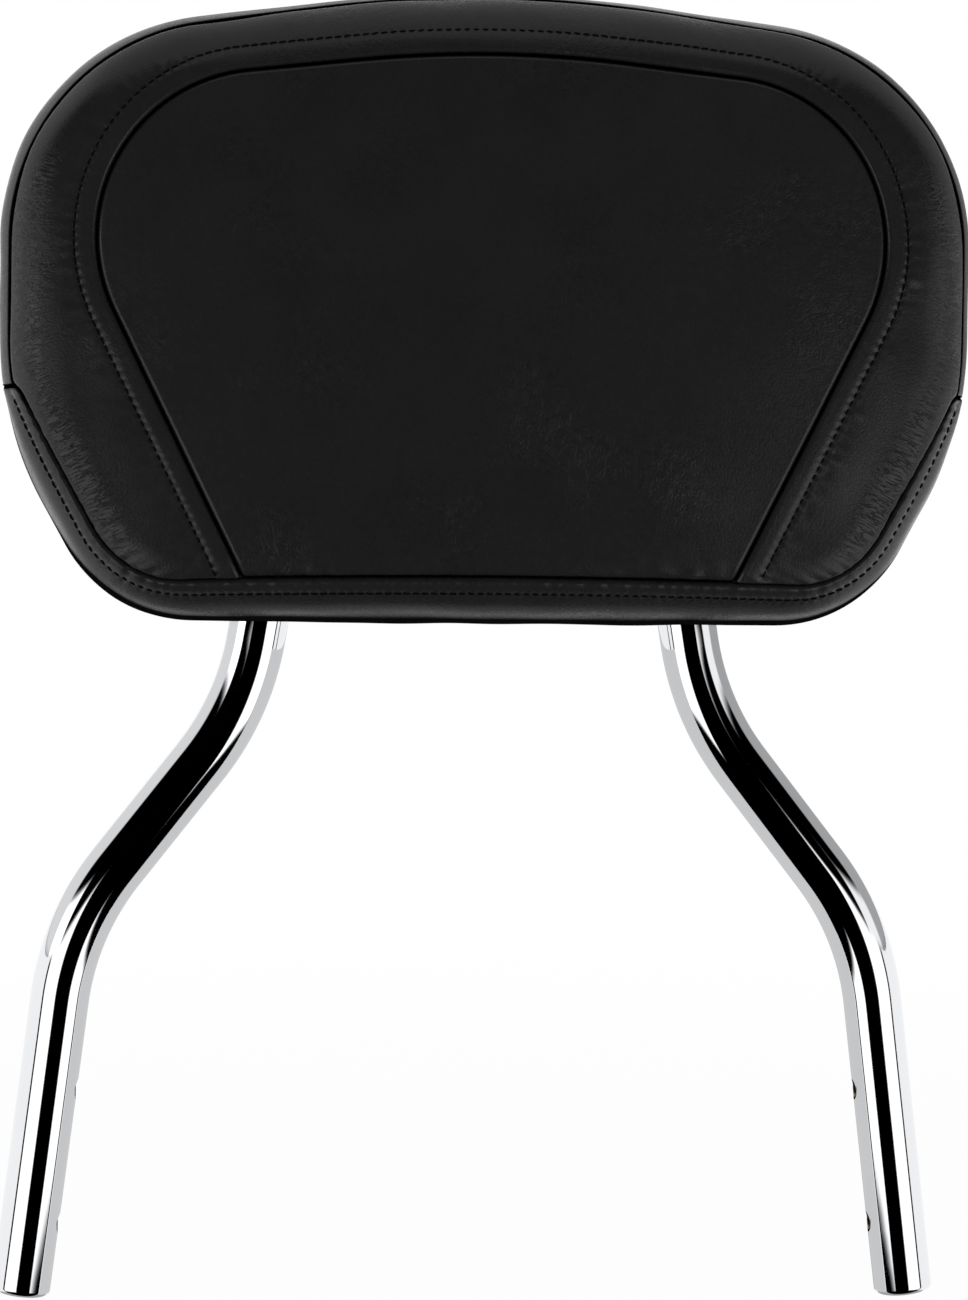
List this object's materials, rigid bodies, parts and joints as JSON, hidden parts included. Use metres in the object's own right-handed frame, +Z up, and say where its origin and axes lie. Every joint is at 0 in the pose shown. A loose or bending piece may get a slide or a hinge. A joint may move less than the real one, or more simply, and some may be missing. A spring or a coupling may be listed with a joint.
{
  "type": "sissy bar",
  "caption": "Bent chrome tube hoop with a padded black vinyl backrest, bolted by its legs to a motorcycle's rear fender struts to support a passenger's back.",
  "frame": {"origin": "midway between the two lower bolt holes in the legs, on the hoop's plane", "axes": "+X to the bar's right seen from the front, -Y the side that the pad faces, +Z up"},
  "size_m": [0.309, 0.0795, 0.4196],
  "materials": {
    "chrome_plate": "mirror-bright plating",
    "bare_steel": "unplated, darkened steel",
    "zinc_plate": "bright zinc plating",
    "black_vinyl": "fine leather grain, satin",
    "grey_foam": "open-cell foam",
    "black_plastic": "fine moulded texture",
    "black_screw": "black zinc",
    "brass": "turned brass"
  },
  "bodies": {
    "root": {"back_cover": "black_plastic", "back_cover_screws": "black_screw", "base_pan": "black_plastic", "bolster_panel": "black_vinyl", "centre_panel": "black_vinyl", "flat_washers": "zinc_plate", "foam_core": "grey_foam", "hem_staples": "bare_steel", "hoop_tube": "chrome_plate", "left_leg_plug": "chrome_plate", "left_lower_bung": "bare_steel", "left_upper_bung": "bare_steel", "lower_band": "black_vinyl", "lower_cross_strap": "chrome_plate", "pad_bolts": "zinc_plate", "right_leg_plug": "chrome_plate", "right_lower_bung": "bare_steel", "right_upper_bung": "bare_steel", "side_band": "black_vinyl", "spring_washers": "zinc_plate", "strap_welds": "chrome_plate", "threaded_inserts": "brass", "upper_cross_strap": "chrome_plate"}
  },
  "joints": []
}
